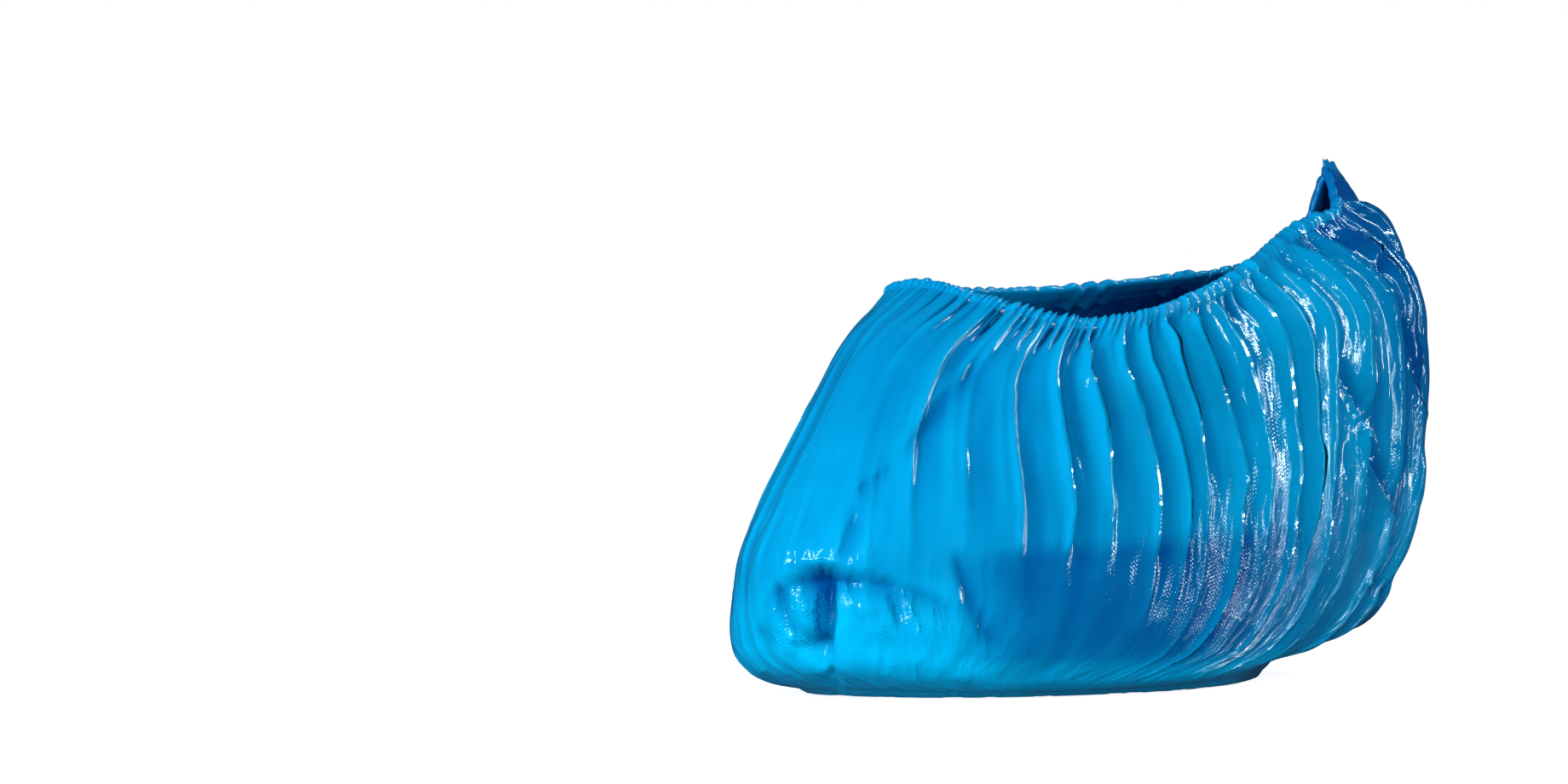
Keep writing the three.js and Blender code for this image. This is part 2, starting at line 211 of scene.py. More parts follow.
def round_noise(column, level, per_column, per_level, seed):
    """Noise over the film that closes round the foot, in cells per column and per level."""
    turn = column * 2 * pi / COLUMNS
    radius = COLUMNS * per_column / (2 * pi)
    return noise(radius * np.cos(turn) + 50, radius * np.sin(turn) + 50, level * per_level + 50, seed)


def ridged(value):
    """Noise folded at zero: sharp crests between wide hollows, from -1 to 1."""
    return 1 - 2 * np.minimum(1, np.abs(value) * 1.6)


# Every fold has a sharp crest, a short steep side towards the heel and a long shallow one.
# out is how far each stands out, in turn round the foot, and ends is the level where it fades.
# Along the outer side the folds are shifted: closer at the waist, wider at the ball.
FOLD_OUT = [2.2, 1.3, 1.9, 2.6, 1.1, 2.0, 1.5, 2.4, 1.2, 1.8, 2.5]
FOLD_ENDS = [2.6, 4.2, 1.0, 3.2, 0.6, 2.8, 1.4, 3.9, 0.8]
FOLD_LEVELS = [0, 1, 2, 3, 4, 5, 6, 6.7, 7]
FOLD_STRENGTH = [0, 0.35, 0.8, 1.05, 1.35, 1.5, 1.5, 1.3, 0.45]
FOLD = {"valley": 0.17, "low": -0.8, "high": 0.35, "steep": 1.3, "shallow": 1.25,
        "faded": 0.15, "bead": 0.65, "bead_wide": 0.09}
SHIFT_PLACES = [0, 12, 16, 20, 24, 28, 32, 36, 40, 44, 48, 56, 168]
SHIFT_COLUMNS = [0, 0, 1.2, 2.5, 3.0, 3.0, 3.3, 2.3, 1.0, 0.5, 0.6, 0, 0]
STRAY = {"whole": 0.9, "local": 0.22}


def wander(place, level):
    """How far a fold line strays from its place, in columns."""
    steady = np.interp(place, SHIFT_PLACES, SHIFT_COLUMNS)
    uneven = STRAY["whole"] * round_noise(place, 0 * level, 0.2, 1.0, 3)
    uneven = uneven * smooth(44, 60, place) * smooth(168, 152, place)
    return steady + uneven + STRAY["local"] * round_noise(place, level, 0.2, 0.7, 4)


def fold_profile(place, level):
    """Folds of the film, in mm, along lines of equal place."""
    fold = np.floor(place / COLUMNS_PER_FOLD + 1e-6).astype(int)
    v = np.maximum(0, place / COLUMNS_PER_FOLD - fold)
    tall = FOLD["high"] - FOLD["low"]
    down = tall * (1 - np.minimum(1, v / FOLD["valley"])) ** FOLD["steep"]
    up = tall * np.clip((v - FOLD["valley"]) / (1 - FOLD["valley"]), 0, 1) ** FOLD["shallow"]

    def size(number):
        """How far one fold stands out at each point."""
        number = number % (COLUMNS // COLUMNS_PER_FOLD)
        out = np.array(FOLD_OUT)[number % len(FOLD_OUT)]
        ends = np.array(FOLD_ENDS)[number % len(FOLD_ENDS)]
        shown = smooth(ends - 0.3, ends + 0.9, level)
        return out * (FOLD["faded"] + (1 - FOLD["faded"]) * shown)

    before, after = size(fold), size(fold + 1)
    broken = FOLD["bead"] * (0.8 + 0.5 * round_noise(place, level, 0.25, 2.2, 13))
    bead = broken * np.exp(-(v / FOLD["bead_wide"]) ** 2) * before
    bead = bead + broken * np.exp(-((1 - v) / FOLD["bead_wide"]) ** 2) * after
    blend = smooth(0, 1, v)
    middle = before * (1 - blend) + after * blend
    return FOLD["low"] * middle + np.where(v < FOLD["valley"], down * before, up * after) + bead


# The film lies flat where the cosine of the angle from the toe is more than full.
QUIET = {"start": 0.5, "full": 0.9, "start_below": 0.32, "full_below": 0.55}


def quiet(angle, level):
    """How far the folds are pulled flat: over the toe, and under the sole edge along the side."""
    below = smooth(3.45, 3.1, level)
    start = QUIET["start"] + (QUIET["start_below"] - QUIET["start"]) * below
    full = QUIET["full"] + (QUIET["full_below"] - QUIET["full"]) * below
    return smooth(0, 1, (np.cos(angle) - start) / (full - start))


DRAWN_FLAT = 0.75


def drawn(angle, level):
    """How far the hem draws the folds flat along the inner side, which is pulled tighter."""
    return DRAWN_FLAT * smooth(0.15, -0.3, np.sin(angle)) * smooth(4.6, 6.2, level)


# The tucked corner at the toe: a hollow under a low overhanging lip.
LIP = {"out": 1.7, "reach": 0.75, "level": 3.5, "rise": 0.5}
RECESS = {"deep": 1.6, "reach": 0.75, "level": 2.3, "rise": 1.0}
TUCK_COLUMN = 3

# Single creases. Along each line the film drops over the edge, to the left of the line seen from
# outside, and rises again over the fade. These are in mm, and the line in columns and levels.
CREASES = [
    # name, deep, edge, fade at the start and at the end, line
    ("arch over the tuck", 1.8, 2.4, (8, 8),
     [(18.5, 2.6), (15.8, 2.7), (13.5, 2.88), (10.8, 3.05), (6, 3.18), (3.8, 3.25), (1.2, 3.2),
      (-1.2, 3.0)]),
    ("arch, middle", 1.4, 2.0, (6, 6), [(12, 3.0), (10.8, 3.05), (6, 3.18), (3.8, 3.25), (1, 3.2)]),
    ("arch, left", 1.6, 1.9, (14, 14),
     [(9, 3.12), (6, 3.18), (3.8, 3.25), (1.2, 3.2), (-1.2, 3.02), (-3.5, 2.6)]),
    ("pocket", 5.5, 4.2, (5, 13), [(0.7, 1.35), (1.8, 1.85), (3.2, 2.55), (4.2, 3.15), (4.5, 3.4)]),
    ("pocket side", 1.6, 1.5, (7, 5), [(-1.5, 3.15), (-1.3, 2.75), (-0.5, 2.3), (0.7, 1.8)]),
    ("pocket foot", 2.2, 1.6, (6, 6), [(-1.0, 1.8), (0.4, 1.72), (1.8, 1.72), (2.8, 1.8)]),
    ("pleat loop", 1.8, 1.6, (4, 4), [(-2.4, 0.3), (1.5, 1.15), (2.6, 1.8)]),
    ("beside the pocket", 1.1, 1.8, (5, 5), [(10.6, 3.0), (10.8, 2.75), (11.5, 2.35)]),
    ("ball", 1.5, 4.0, (4, 4), [(16.2, 3.5), (17.8, 2.85), (20.0, 2.3), (21.8, 2.05)]),
    ("over the toe", 1.0, 1.6, (5, 5), [(7.0, 4.1), (6.2, 3.85), (6.0, 3.55), (4.8, 3.35)]),
    ("under the toe", 1.1, 2.0, (5, 5), [(-4.4, 2.4), (-4.2, 1.65), (-4.0, 1.3)]),
    ("toe side", 0.5, 2.0, (6, 6), [(-2.2, 2.9), (-3.0, 2.3), (-2.4, 1.8)]),
    ("vamp", 1.8, 2.6, (9, 9), [(17.5, 6.2), (13.5, 5.2), (10.4, 4.6)]),
    ("vamp foot", 1.2, 2.6, (5, 5), [(10.4, 4.6), (7.6, 4.4), (5.8, 4.3)]),
    ("heel, first", 3.2, 2.0, (10, 10), [(66.8, 7.0), (65.0, 6.45), (64.2, 5.8), (64.6, 5.0)]),
    ("heel, second", 3.6, 2.2, (10, 12),
     [(71, 7.0), (69.5, 6.4), (68.6, 5.85), (70.8, 5.2), (72, 4.2)]),
    ("heel, cross", 1.8, 2.6, (6, 6), [(74.0, 6.6), (71.0, 6.25), (68.5, 6.0)]),
    ("heel, low", 3.0, 2.4, (10, 10), [(60.5, 5.6), (64.0, 4.4), (69.5, 2.9), (71, 2.3)]),
    ("heel corner", 2.2, 2.8, (7, 7), [(66, 2.9), (69.0, 2.5), (74.0, 2.4), (78, 2.7)]),
]
CREASE_FALL = 1.6


def crease_drop(points, out):
    """How far the single creases lower each point."""
    total = np.zeros(points.shape[:-1])
    for name, deep, edge, fade, line in CREASES:
        columns, levels = np.array(line, float).T
        nodes = form_point(column_angle(columns, levels), levels)
        nearest = np.full(total.shape, 1e9)
        drop = np.zeros(total.shape)
        legs = np.linalg.norm(np.diff(nodes, axis=0), axis=1)
        run = np.concatenate([[0], np.cumsum(legs)])
        for k, leg in enumerate(legs):
            way = (nodes[k + 1] - nodes[k]) / leg
            reach = points - nodes[k]
            along = np.clip(reach @ way, 0, leg)
            apart = reach - along[..., None] * way
            distance = np.linalg.norm(apart, axis=-1)
            left = np.einsum("...k,...k->...", np.cross(way, apart), out) > 0
            share = (run[k] + along) / run[-1]
            ends = smooth(0, 0.2, share) * smooth(1, 0.75, share)
            falls = np.maximum(0, 1 - distance / np.interp(share, [0, 1], fade)) ** CREASE_FALL
            here = deep * ends * np.where(left, falls, smooth(edge, 0, distance))
            drop = np.where(distance < nearest, here, drop)
            nearest = np.minimum(nearest, distance)
        total = total + drop
    return total


def tuck(angle, level):
    """The lip over the tucked corner and the hollow under it."""
    from_tuck = half_turn(angle - column_angle(np.full_like(angle, TUCK_COLUMN), level))
    lip = LIP["out"] * bump(from_tuck, LIP["reach"]) * bump(level - LIP["level"], LIP["rise"])
    recess = RECESS["deep"] * bump(from_tuck, RECESS["reach"])
    return lip - recess * bump(level - RECESS["level"], RECESS["rise"])


# The elastic gathers the edge into small puffs, one to a column, with pinches between them. At
# the heel the edge runs ungathered into the bag's corner.
PUFF = {"out": 0.9, "level_top": 0.6, "pinch": 3.0, "corner": 84.0, "reach": 7.0}


def puff(place):
    """From 0 in a pinch to 1 on a puff, and how strong the puffs are there."""
    uneven = 0.45 * round_noise(place, 0 * place, 0.4, 1.0, 15)
    round_top = np.abs(np.sin(pi * (0.85 * place + uneven))) ** 0.7
    strength = np.clip(0.75 + 0.6 * round_noise(place, 0 * place, 0.45, 1.0, 12), 0.3, 1.1)
    return round_top, strength * smooth(0.3, 1, np.abs(place - PUFF["corner"]) / PUFF["reach"])


# Between the folds the film ripples: branches under the hem, lines of tension over the toe, and
# slight creases all over.
RIPPLE = {"branch": 0.3, "tension": 0.32, "crease": 0.2, "fine_crease": 0.12}


def hem_pinch(place, level):
    """Where the elastic pinches the film deepest, from one cell of the hem to the next."""
    return np.maximum(0, round_noise(place, 0 * level, 0.7, 1.0, 14))


def stand_off(place, column, level, angle):
    """How far the film stands off the smooth form, apart from its single creases."""
    strength = np.interp(level, FOLD_LEVELS, FOLD_STRENGTH)
    calm = (1 - 0.85 * quiet(angle, level)) * (1 + 0.3 * smooth(0.1, -0.4, np.cos(angle)))
    calm = calm * (1 - drawn(angle, level))
    fade = 1 + 0.25 * round_noise(place, level, 0.23, 0.8, 5)
    folds = fold_profile(place, level) * strength * calm * fade
    branch = RIPPLE["branch"] * ridged(round_noise(place, level, 0.5, 0.3, 6))
    branch = branch * smooth(4.2, 6.4, level)
    tension = RIPPLE["tension"] * ridged(round_noise(place, level, 0.55, 0.22, 9))
    tension = tension * smooth(3.4, 4.6, level) * smooth(0.2, 0.7, np.cos(angle))
    crease = RIPPLE["crease"] * ridged(round_noise(column, level, 0.3, 0.9, 7))
    slanting = ridged(round_noise(column - 2.2 * level, level, 0.6, 1.5, 8))
    crease = (crease + RIPPLE["fine_crease"] * slanting) * smooth(-1, 1, level)
    round_top, gathered = puff(place)
    puffs = PUFF["out"] * (round_top - PUFF["level_top"]) * gathered * smooth(6.6, 6.95, level)
    deep = 2 * PUFF["pinch"] * hem_pinch(place, level)
    pinches = deep * (1 - round_top) * gathered * smooth(6.3, 6.9, level)
    return folds + branch + tension + crease + puffs - pinches + tuck(angle, level)


# Above the sole edge each fold leans over towards the heel by this share of its height.
FOLD_LEAN = 0.3


def film_grid(places, levels):
    """Points in mm, their way out and the column and level of each, for a net of the film whose
    lines follow the folds."""
    place, level = np.meshgrid(places, levels, indexing="ij")
    column = place + wander(place, level)
    angle = column_angle(column, level)
    form = form_point(angle, level)
    turn = 0.01
    round_way = form_point(angle + turn, level) - form_point(angle - turn, level)
    near = np.clip(level, 0.05, HEM_LEVEL)
    rise = 0.02
    up_way = form_point(angle, near + rise) - form_point(angle, near - rise)
    out = unit(np.cross(round_way, up_way))
    under = (level < 0)[..., None]
    out = np.where(under, np.array([0.0, 0.0, -1.0]), out)
    off = stand_off(place, column, level, angle)
    off = (off - crease_drop(form, out))[..., None]
    lean = FOLD_LEAN * smooth(2.5, 4.5, level) * np.sign(np.sin(angle))
    points = form + out * off + unit(round_way) * lean[..., None] * off
    points[..., 2] = np.maximum(0, points[..., 2])
    return points - MIDDLE, out, column, level


COLUMN_STEPS = 4
film_columns = np.arange(COLUMNS * COLUMN_STEPS) / COLUMN_STEPS
LEVEL_STEPS = [8, 6, 12, 22, 20, 20, 24, 28]
film_levels = [np.arange(steps) / steps + start for start, steps in enumerate(LEVEL_STEPS, -1)]
film_levels = np.concatenate(film_levels + [[float(HEM_LEVEL)]])
film, film_out, film_column, film_level = film_grid(film_columns, film_levels)
film_angle = column_angle(film_column, film_level)
shoe = form_point(film_angle, film_level) - MIDDLE

# The film is let go from this first shape and settles as thin film does. It is a little wider
# round the foot than the shape and drawn tight from the sole to the hem, so it buckles into
# flat facets and sharp creases. It is held under the sole, in the hem and in the toe's pocket,
# and ROOM says how far it may lie inside and outside the shoe's smooth form.
SPARE_LEVELS = [0, 0.01, 0.02, 0.03, 0.06, 0.1, 0.12, 0.14]
TIGHT = 0.98
ROOM = {"low": -2.4, "high": 4.4, "least": 0.3}
POCKET = {"column": 2.0, "reach": 0.5, "level": 2.3, "rise": 1.4, "loose": 0.15}
SETTLING = {"turns": 400, "soften": 0.012, "give": 0.42, "shear": 0.3}
POCKET_SOFTENING = {"turns": 4, "soften": 0.4}


def settle(net):
    """Move the points of the net until they keep the film's own distances."""
    facing = np.cos(film_angle)
    spare = np.interp(film_level, range(HEM_LEVEL + 1), SPARE_LEVELS)
    spare = spare * (1 - 0.6 * quiet(film_angle, film_level))
    spare = 1 + spare * (0.4 + 0.15 * smooth(0.15, -0.4, facing))
    tight = 1 - (1 - TIGHT) * smooth(1, 3, film_level)
    across = (np.roll(net, -1, 0) - net) * spare[..., None]
    up = (net[:, 1:] - net[:, :-1]) * tight[:, :-1, None]
    rest_across = np.linalg.norm(across, axis=-1).astype(np.float32)
    rest_up = np.linalg.norm(up, axis=-1).astype(np.float32)
    rest_rise = np.linalg.norm(across[:, :-1] + up, axis=-1).astype(np.float32)
    rest_fall = np.linalg.norm(across[:, :-1] - up, axis=-1).astype(np.float32)
    below_hem = film_level - 0.35 * smooth(-0.1, -0.7, facing)
    held = np.maximum(smooth(5.9, 6.75, below_hem), smooth(0.9, 0.1, film_level))
    pocket_column = np.full_like(film_angle, POCKET["column"])
    from_pocket = half_turn(film_angle - column_angle(pocket_column, film_level))
    pocket = bump(from_pocket, POCKET["reach"]) * bump(film_level - POCKET["level"], POCKET["rise"])
    free = (1 - np.maximum(held, pocket))[..., None].astype(np.float32)
    loose = np.maximum(free, POCKET["loose"] * pocket[..., None]).astype(np.float32)
    creased = np.minimum(0, -crease_drop(shoe + MIDDLE, film_out) - 2)
    low = (ROOM["low"] + creased).astype(np.float32)
    high = ROOM["high"] * smooth(0, 4, film_level) + ROOM["least"] + creased * 0.6
    high = high.astype(np.float32) * (1 - drawn(film_angle, film_level)).astype(np.float32)
    out = film_out.astype(np.float32)
    under = shoe.astype(np.float32)
    net = net.astype(np.float32)

    def pull(way, rest, give):
        """The move that brings two points nearer to their rest distance."""
        length = np.sqrt(np.einsum("ijk,ijk->ij", way, way))
        return way * (give * (length - rest) / np.maximum(length, 1e-3))[..., None]

    for turn in range(SETTLING["turns"]):
        move = pull(np.roll(net, -1, 0) - net, rest_across, SETTLING["give"])
        net += (move - np.roll(move, 1, 0)) * free
        move = pull(net[:, 1:] - net[:, :-1], rest_up, SETTLING["give"])
        net[:, :-1] += move * free[:, :-1]
        net[:, 1:] -= move * free[:, 1:]
        ahead = np.roll(net, -1, 0)
        rise = pull(ahead[:, 1:] - net[:, :-1], rest_rise, SETTLING["shear"])
        fall = pull(ahead[:, :-1] - net[:, 1:], rest_fall, SETTLING["shear"])
        net[:, :-1] += (rise - np.roll(fall, 1, 0)) * free[:, :-1]
        net[:, 1:] += (fall - np.roll(rise, 1, 0)) * free[:, 1:]
        shift = net - under
        mean = np.roll(shift, 1, 0) + np.roll(shift, -1, 0)
        mean[:, 1:-1] += shift[:, 2:] + shift[:, :-2]
        mean[:, 1:-1] *= 0.5
        net += SETTLING["soften"] * (mean * 0.5 - shift) * loose
        stand = np.einsum("ijk,ijk->ij", net - under, out)
        net += out * (np.clip(stand, low, high) - stand)[..., None] * free
        net[..., 2] = np.maximum(net[..., 2], 0)
    for turn in range(POCKET_SOFTENING["turns"]):
        shift = net - under
        mean = np.roll(shift, 1, 0) + np.roll(shift, -1, 0)
        mean[:, 1:-1] = (mean[:, 1:-1] + shift[:, 2:] + shift[:, :-2]) / 2
        softer = POCKET_SOFTENING["soften"] * (mean * 0.5 - shift)
        net += softer * pocket[..., None].astype(np.float32)
    return net.astype(float)


film = settle(film)

# Details finer than the settling: a crisp bead on every crest, and fine wrinkles.
BEAD = {"out": 0.3, "wide": 0.07}
WRINKLE = 0.07
film_place = np.repeat(film_columns[:, None], len(film_levels), 1)
beside_crest = film_place / COLUMNS_PER_FOLD - np.round(film_place / COLUMNS_PER_FOLD)
unquiet = 1 - quiet(film_angle, film_level)
bead = BEAD["out"] * np.exp(-(beside_crest / BEAD["wide"]) ** 2)
bead = bead * np.interp(film_level, FOLD_LEVELS, FOLD_STRENGTH) * unquiet
bead = bead * (1 - drawn(film_angle, film_level))
bead = bead * (0.8 + 0.7 * round_noise(film_place, film_level, 0.3, 3.0, 21))
wrinkle = ridged(round_noise(film_place, film_level, 0.8, 1.1, 22))
wrinkle = wrinkle + ridged(round_noise(film_place, film_level, 0.4, 2.2, 23))
wrinkle = WRINKLE * wrinkle * smooth(0.5, 2, film_level) * smooth(7, 6.8, film_level)
film = film + film_out * (bead + wrinkle)[..., None]


def net_normals(points):
    """Normals of a net that closes round the foot."""
    round_way = np.roll(points, -1, 0) - np.roll(points, 1, 0)
    up_way = np.gradient(points, axis=1)
    return unit(np.cross(round_way, up_way))


def double_wall(name, outside, inside, number, rims, values):
    """A mesh of film from its outside and its inside. number tells how the points of one side
    follow each other, rims are the edges to close, and values are numbers per point that the
    film's material reads."""
    count = len(outside)
    a, b = number[:-1, :-1].ravel(), number[1:, :-1].ravel()
    c, d = number[1:, 1:].ravel(), number[:-1, 1:].ravel()
    faces = [np.stack([a, b, c, d], 1), np.stack([a, d, c, b], 1) + count]
    for rim in rims:
        faces.append(np.stack([rim[1:], rim[:-1], rim[:-1] + count, rim[1:] + count], 1))
    faces = np.concatenate(faces)
    mesh = bpy.data.meshes.new(name)
    mesh.from_pydata((np.concatenate([outside, inside]) * MM).tolist(), [], faces.tolist())
    mesh.polygons.foreach_set("use_smooth", np.ones(len(faces), bool))
    for key, value in values.items():
        attribute = mesh.attributes.new(key, "FLOAT", "POINT")
        attribute.data.foreach_set("value", np.tile(value.reshape(-1), 2).astype(np.float32))
    return mesh


def set_down(name, mesh):
    """The finished mesh as a piece of the scene."""
    mesh.validate()
    piece = bpy.data.objects.new(name, mesh)
    bpy.context.scene.collection.objects.link(piece)
    return piece


# The inside of the sole lies just above the floor.
INSIDE_LIFT = 0.02


def wall_piece(name, points, normals, thick, values):
    """A thin wall of film along a net that is open at both ends."""
    outside = points.reshape(-1, 3)
    inside = (points - normals * thick).reshape(-1, 3)
    inside[:, 2] = np.maximum(inside[:, 2], INSIDE_LIFT)
    number = np.arange(len(outside)).reshape(points.shape[:2])
    rims = (number[:, 0], number[-1, :], number[::-1, -1], number[0, ::-1])
    mesh = double_wall(name, outside, inside, number, rims, values)
    both = np.concatenate([normals.reshape(-1, 3), -normals.reshape(-1, 3)])
    mesh.normals_split_custom_set_from_vertices(both.tolist())
    return set_down(name, mesh)


def lay_out(piece, flat_u, flat_v, once_round):
    """The piece's own UV map, in metres of flat film. It runs on where the film closes."""
    layer = piece.data.uv_layers.new(name="flat_film")
    loop_point = np.empty(len(piece.data.loops), int)
    piece.data.loops.foreach_get("vertex_index", loop_point)
    flat = np.tile(np.stack([flat_u.reshape(-1), flat_v.reshape(-1)], 1), (2, 1))[loop_point]
    u = flat[:, 0].reshape(-1, 4)
    closing = (np.ptp(u, axis=1, keepdims=True) > once_round / 2) & (u < once_round / 2)
    flat[:, 0] = np.where(closing, u + once_round, u).reshape(-1)
    layer.data.foreach_set("uv", flat.astype(np.float32).reshape(-1))


def linear(red, green, blue):
    """A colour from 0 to 255 as the shader wants it."""
    share = [value / 255 for value in (red, green, blue)]
    return [*((v / 12.92) if v <= 0.04045 else ((v + 0.055) / 1.055) ** 2.4 for v in share), 1.0]


GLOSS_TINT = (0.5, 0.92, 1.0, 1.0)
CLOUD = {"scale": 60.0, "detail": 3.0, "tone": 0.24}
ROUGH = {"least": 0.03, "most": 0.1}
EMBOSS = {"scale": 330.0, "turned": radians(58), "high": 0.00015}
CRUMPLE = {"scale": 190.0, "detail": 2.5, "rough": 0.65, "tall": 0.35, "high": 0.0002}


def film_material(name, light, deep, see_through):
    """Glossy embossed film. It reads three numbers of its piece: tone, from 0, deep, to 1, light,
    which on the film and the hem holds painted light and shade, and how strong the crinkle and
    the stamp, its emboss, are."""
    material = bpy.data.materials.new(name)
    material.use_nodes = True
    nodes, links = material.node_tree.nodes, material.node_tree.links
    nodes.clear()
    output = nodes.new("ShaderNodeOutputMaterial")
    mixer = nodes.new("ShaderNodeMixShader")
    shell = nodes.new("ShaderNodeBsdfPrincipled")
    glow = nodes.new("ShaderNodeBsdfTranslucent")
    mixer.inputs[0].default_value = see_through
    shell.inputs["Specular IOR Level"].default_value = 0.5
    shell.inputs["IOR"].default_value = 1.5
    shell.inputs["Specular Tint"].default_value = GLOSS_TINT
    links.new(shell.outputs[0], mixer.inputs[1])
    links.new(glow.outputs[0], mixer.inputs[2])
    links.new(mixer.outputs[0], output.inputs["Surface"])

    tone = nodes.new("ShaderNodeAttribute")
    tone.attribute_name = "tone"
    place = nodes.new("ShaderNodeTexCoord")
    cloud = nodes.new("ShaderNodeTexNoise")
    cloud.inputs["Scale"].default_value = CLOUD["scale"]
    cloud.inputs["Detail"].default_value = CLOUD["detail"]
    links.new(place.outputs["Object"], cloud.inputs["Vector"])
    vary = nodes.new("ShaderNodeMath")
    vary.operation = "MULTIPLY_ADD"
    vary.inputs[1].default_value = CLOUD["tone"]
    links.new(cloud.outputs["Fac"], vary.inputs[0])
    lower = nodes.new("ShaderNodeMath")
    lower.operation = "SUBTRACT"
    lower.inputs[1].default_value = CLOUD["tone"] / 2
    links.new(tone.outputs["Fac"], lower.inputs[0])
    links.new(lower.outputs[0], vary.inputs[2])
    ramp = nodes.new("ShaderNodeValToRGB")
    ramp.color_ramp.elements[0].color = deep
    ramp.color_ramp.elements[1].color = light
    links.new(vary.outputs[0], ramp.inputs[0])
    links.new(ramp.outputs[0], shell.inputs["Base Color"])
    links.new(ramp.outputs[0], glow.inputs["Color"])

    rough = nodes.new("ShaderNodeMapRange")
    rough.inputs["To Min"].default_value = ROUGH["least"]
    rough.inputs["To Max"].default_value = ROUGH["most"]
    links.new(cloud.outputs["Fac"], rough.inputs["Value"])
    links.new(rough.outputs[0], shell.inputs["Roughness"])

    # The emboss is a fine net of diamonds, over a crinkle that is stretched up the bag.
    flat = nodes.new("ShaderNodeUVMap")
    flat.uv_map = "flat_film"
    diamonds = []
    for turned in (EMBOSS["turned"], -EMBOSS["turned"]):
        turn = nodes.new("ShaderNodeMapping")
        turn.inputs["Rotation"].default_value = (0, 0, turned)
        wave = nodes.new("ShaderNodeTexWave")
        wave.inputs["Scale"].default_value = EMBOSS["scale"]
        links.new(flat.outputs["UV"], turn.inputs["Vector"])
        links.new(turn.outputs[0], wave.inputs["Vector"])
        diamonds.append(wave)
    emboss = nodes.new("ShaderNodeMath")
    emboss.operation = "MULTIPLY"
    links.new(diamonds[0].outputs["Fac"], emboss.inputs[0])
    links.new(diamonds[1].outputs["Fac"], emboss.inputs[1])
    stretch = nodes.new("ShaderNodeMapping")
    stretch.inputs["Scale"].default_value = (1.0, CRUMPLE["tall"], 1.0)
    links.new(flat.outputs["UV"], stretch.inputs["Vector"])
    crumple = nodes.new("ShaderNodeTexNoise")
    crumple.noise_type = "RIDGED_MULTIFRACTAL"
    crumple.inputs["Scale"].default_value = CRUMPLE["scale"]
    crumple.inputs["Detail"].default_value = CRUMPLE["detail"]
    crumple.inputs["Roughness"].default_value = CRUMPLE["rough"]
    crumple.inputs["Offset"].default_value = 1.0
    links.new(stretch.outputs[0], crumple.inputs["Vector"])
    crinkle = nodes.new("ShaderNodeAttribute")
    crinkle.attribute_name = "crinkle"
    relief = nodes.new("ShaderNodeBump")
    relief.inputs["Distance"].default_value = CRUMPLE["high"]
    links.new(crinkle.outputs["Fac"], relief.inputs["Strength"])
    links.new(crumple.outputs["Fac"], relief.inputs["Height"])
    stamped = nodes.new("ShaderNodeBump")
    stamped.inputs["Distance"].default_value = EMBOSS["high"]
    stamp = nodes.new("ShaderNodeAttribute")
    stamp.attribute_name = "stamp"
    links.new(stamp.outputs["Fac"], stamped.inputs["Strength"])
    links.new(emboss.outputs[0], stamped.inputs["Height"])
    links.new(relief.outputs[0], stamped.inputs["Normal"])
    links.new(stamped.outputs[0], shell.inputs["Normal"])
    links.new(stamped.outputs[0], glow.inputs["Normal"])
    return material


FILM_LIGHT, FILM_DEEP = linear(0, 178, 232), linear(0, 76, 148)
FILM_SEE_THROUGH = 0.25
film_blue = film_material("film_blue", FILM_LIGHT, FILM_DEEP, FILM_SEE_THROUGH)
film_normal = net_normals(film)
along = np.linalg.norm(np.diff(film, axis=1), axis=-1)
flat_v = np.concatenate([np.zeros((len(film), 1)), np.cumsum(along, 1)], 1) * MM
round_step = np.linalg.norm(np.roll(film, -1, 0) - film, axis=-1).mean(1)
round_run = np.concatenate([[0], np.cumsum(round_step)])
flat_u = np.repeat(round_run[:-1, None], film.shape[1], 1) * MM

# Painted shade darkens each valley between the folds, and painted light brightens their crests;
# some of the darkness stands for the film lying doubled in each valley. Each point is compared
# with the mean of its neighbours round the foot.
FOLD_SHADE_PAINT = {"over": 10, "gain": 0.2, "darkest": -0.14, "lightest": 0.2}
stand_up = np.einsum("ijk,ijk->ij", film - shoe, film_out)
around = np.concatenate([stand_up[-FOLD_SHADE_PAINT["over"]:], stand_up, stand_up[:FOLD_SHADE_PAINT["over"]]])
summed = np.cumsum(np.concatenate([np.zeros((1, around.shape[1])), around]), 0)
window = 2 * FOLD_SHADE_PAINT["over"] + 1
average = (summed[window:] - summed[:-window]) / window
painted_fold_shade = np.clip(FOLD_SHADE_PAINT["gain"] * (stand_up - average), FOLD_SHADE_PAINT["darkest"], FOLD_SHADE_PAINT["lightest"])

